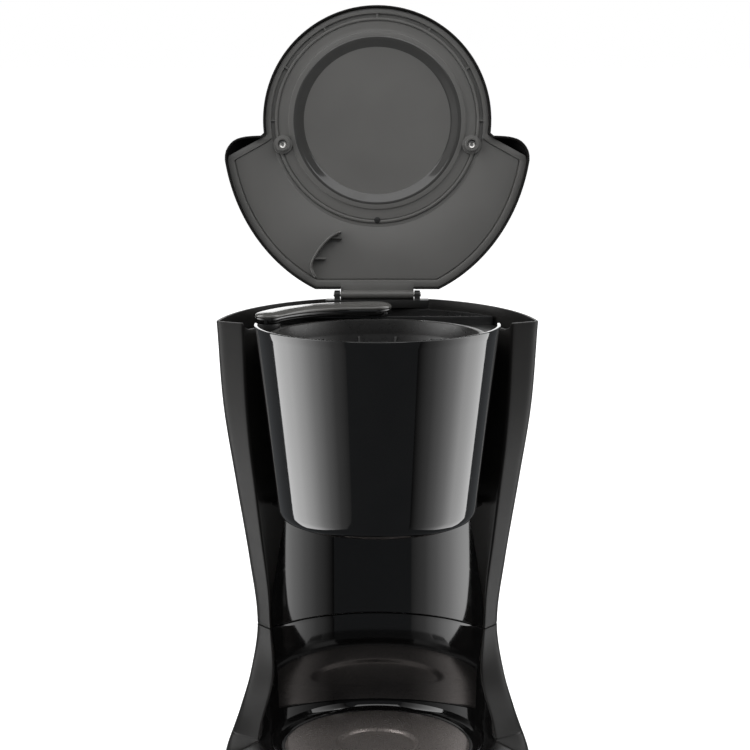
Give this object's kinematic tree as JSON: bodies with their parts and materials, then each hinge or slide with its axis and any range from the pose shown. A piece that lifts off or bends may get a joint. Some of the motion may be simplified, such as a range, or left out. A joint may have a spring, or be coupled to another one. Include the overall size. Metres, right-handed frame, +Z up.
{
  "type": "drip coffee maker",
  "caption": "Drip coffee maker with waisted tower housing, fixed filter drum, lift-out basket, swinging water arm, round hotplate and hinged lid that opens past upright.",
  "frame": {"origin": "centre of the overall box with the lid open, on the table under the feet", "axes": "+Z up, +X to the right seen from the front, +Y towards the back where the lid hinges"},
  "size_m": [0.2128, 0.2611, 0.5204],
  "materials": {
    "housing": "satin moulded black",
    "gloss_shell": "polished black",
    "inner_black": "fine matte",
    "basket_plastic": "satin",
    "lid_grey": "satin, warm dark grey",
    "arm_grey": "semi-gloss warm grey",
    "tank_plastic": "polished dark",
    "hotplate_coat": "fine non-stick coat",
    "rubber": "matte",
    "silicone": "milky silicone",
    "silicone_red": "silicone",
    "aluminium": "drawn tube",
    "steel": "zinc plated",
    "white_plastic": "natural white",
    "white_ceramic": "plain",
    "lamp_lens": "tinted lens"
  },
  "bodies": {
    "root": {"upper_housing": "housing", "bay_panel": "gloss_shell", "filter_housing": "gloss_shell", "drum_floor": "gloss_shell", "base_housing": "housing", "base_plate": "inner_black", "rubber_feet": "rubber", "hotplate_surround": "gloss_shell", "hotplate": "hotplate_coat", "hotplate_seal": "rubber", "heating_element": "aluminium", "water_channel": "aluminium", "element_clamp": "aluminium", "thermostat": "white_ceramic", "thermal_fuse": "white_ceramic", "water_tank": "tank_plastic", "tank_strainer": "white_plastic", "check_valve_body": "white_plastic", "inlet_hose": "silicone", "riser_hose": "silicone", "hose_clips": "steel", "arm_post": "inner_black", "hinge_bracket": "inner_black", "hinge_pins": "steel", "switch_bezel": "inner_black", "indicator_lamp": "lamp_lens", "terminal_block": "white_plastic", "cord_gland": "rubber", "base_screws": "steel"},
    "lid": {"lid_panel": "lid_grey", "lid_cover": "housing", "lid_screws": "steel"},
    "arm": {"spray_arm": "inner_black", "spray_arm_cover": "arm_grey", "spray_nozzle": "inner_black"},
    "basket": {"filter_basket": "basket_plastic"},
    "plunger": {"drip_stop_plunger": "basket_plastic", "drip_stop_seal": "silicone", "drip_stop_spring": "steel"},
    "valve_ball": {"check_valve_ball": "silicone_red"},
    "rocker": {"switch_rocker": "inner_black"}
  },
  "joints": [
    {"name": "lid_hinge", "type": "hinge", "parent": "root", "child": "lid", "pos_m": [0, 0.0946, 0.3207], "axis": [-1, 0, 0], "range_deg": [-98, 0]},
    {"name": "arm_swing", "type": "hinge", "parent": "root", "child": "arm", "pos_m": [-0.072, 0.015, 0.314], "axis": [0, 0, 1], "range_deg": [-63, 0]},
    {"name": "basket_lift", "type": "slide", "parent": "root", "child": "basket", "axis": [0, 0, 1], "range_m": [0, 0.16]},
    {"name": "drip_stop", "type": "slide", "parent": "basket", "child": "plunger", "axis": [0, 0, 1], "range_m": [0, 0.004], "stiffness_N_per_m": 300, "springref_m": -0.004, "deforming": ["drip_stop_spring"]},
    {"name": "valve_ball_lift", "type": "slide", "parent": "root", "child": "valve_ball", "axis": [0, 0, 1], "range_m": [0, 0.003]},
    {"name": "switch_tilt", "type": "hinge", "parent": "root", "child": "rocker", "pos_m": [0, -0.1204, 0.017], "axis": [1, 0, 0], "range_deg": [-12, 0]}
  ],
  "couplings": [
    {"joint": "arm_swing", "follows": "lid_hinge", "ratio": 0.64286}
  ]
}
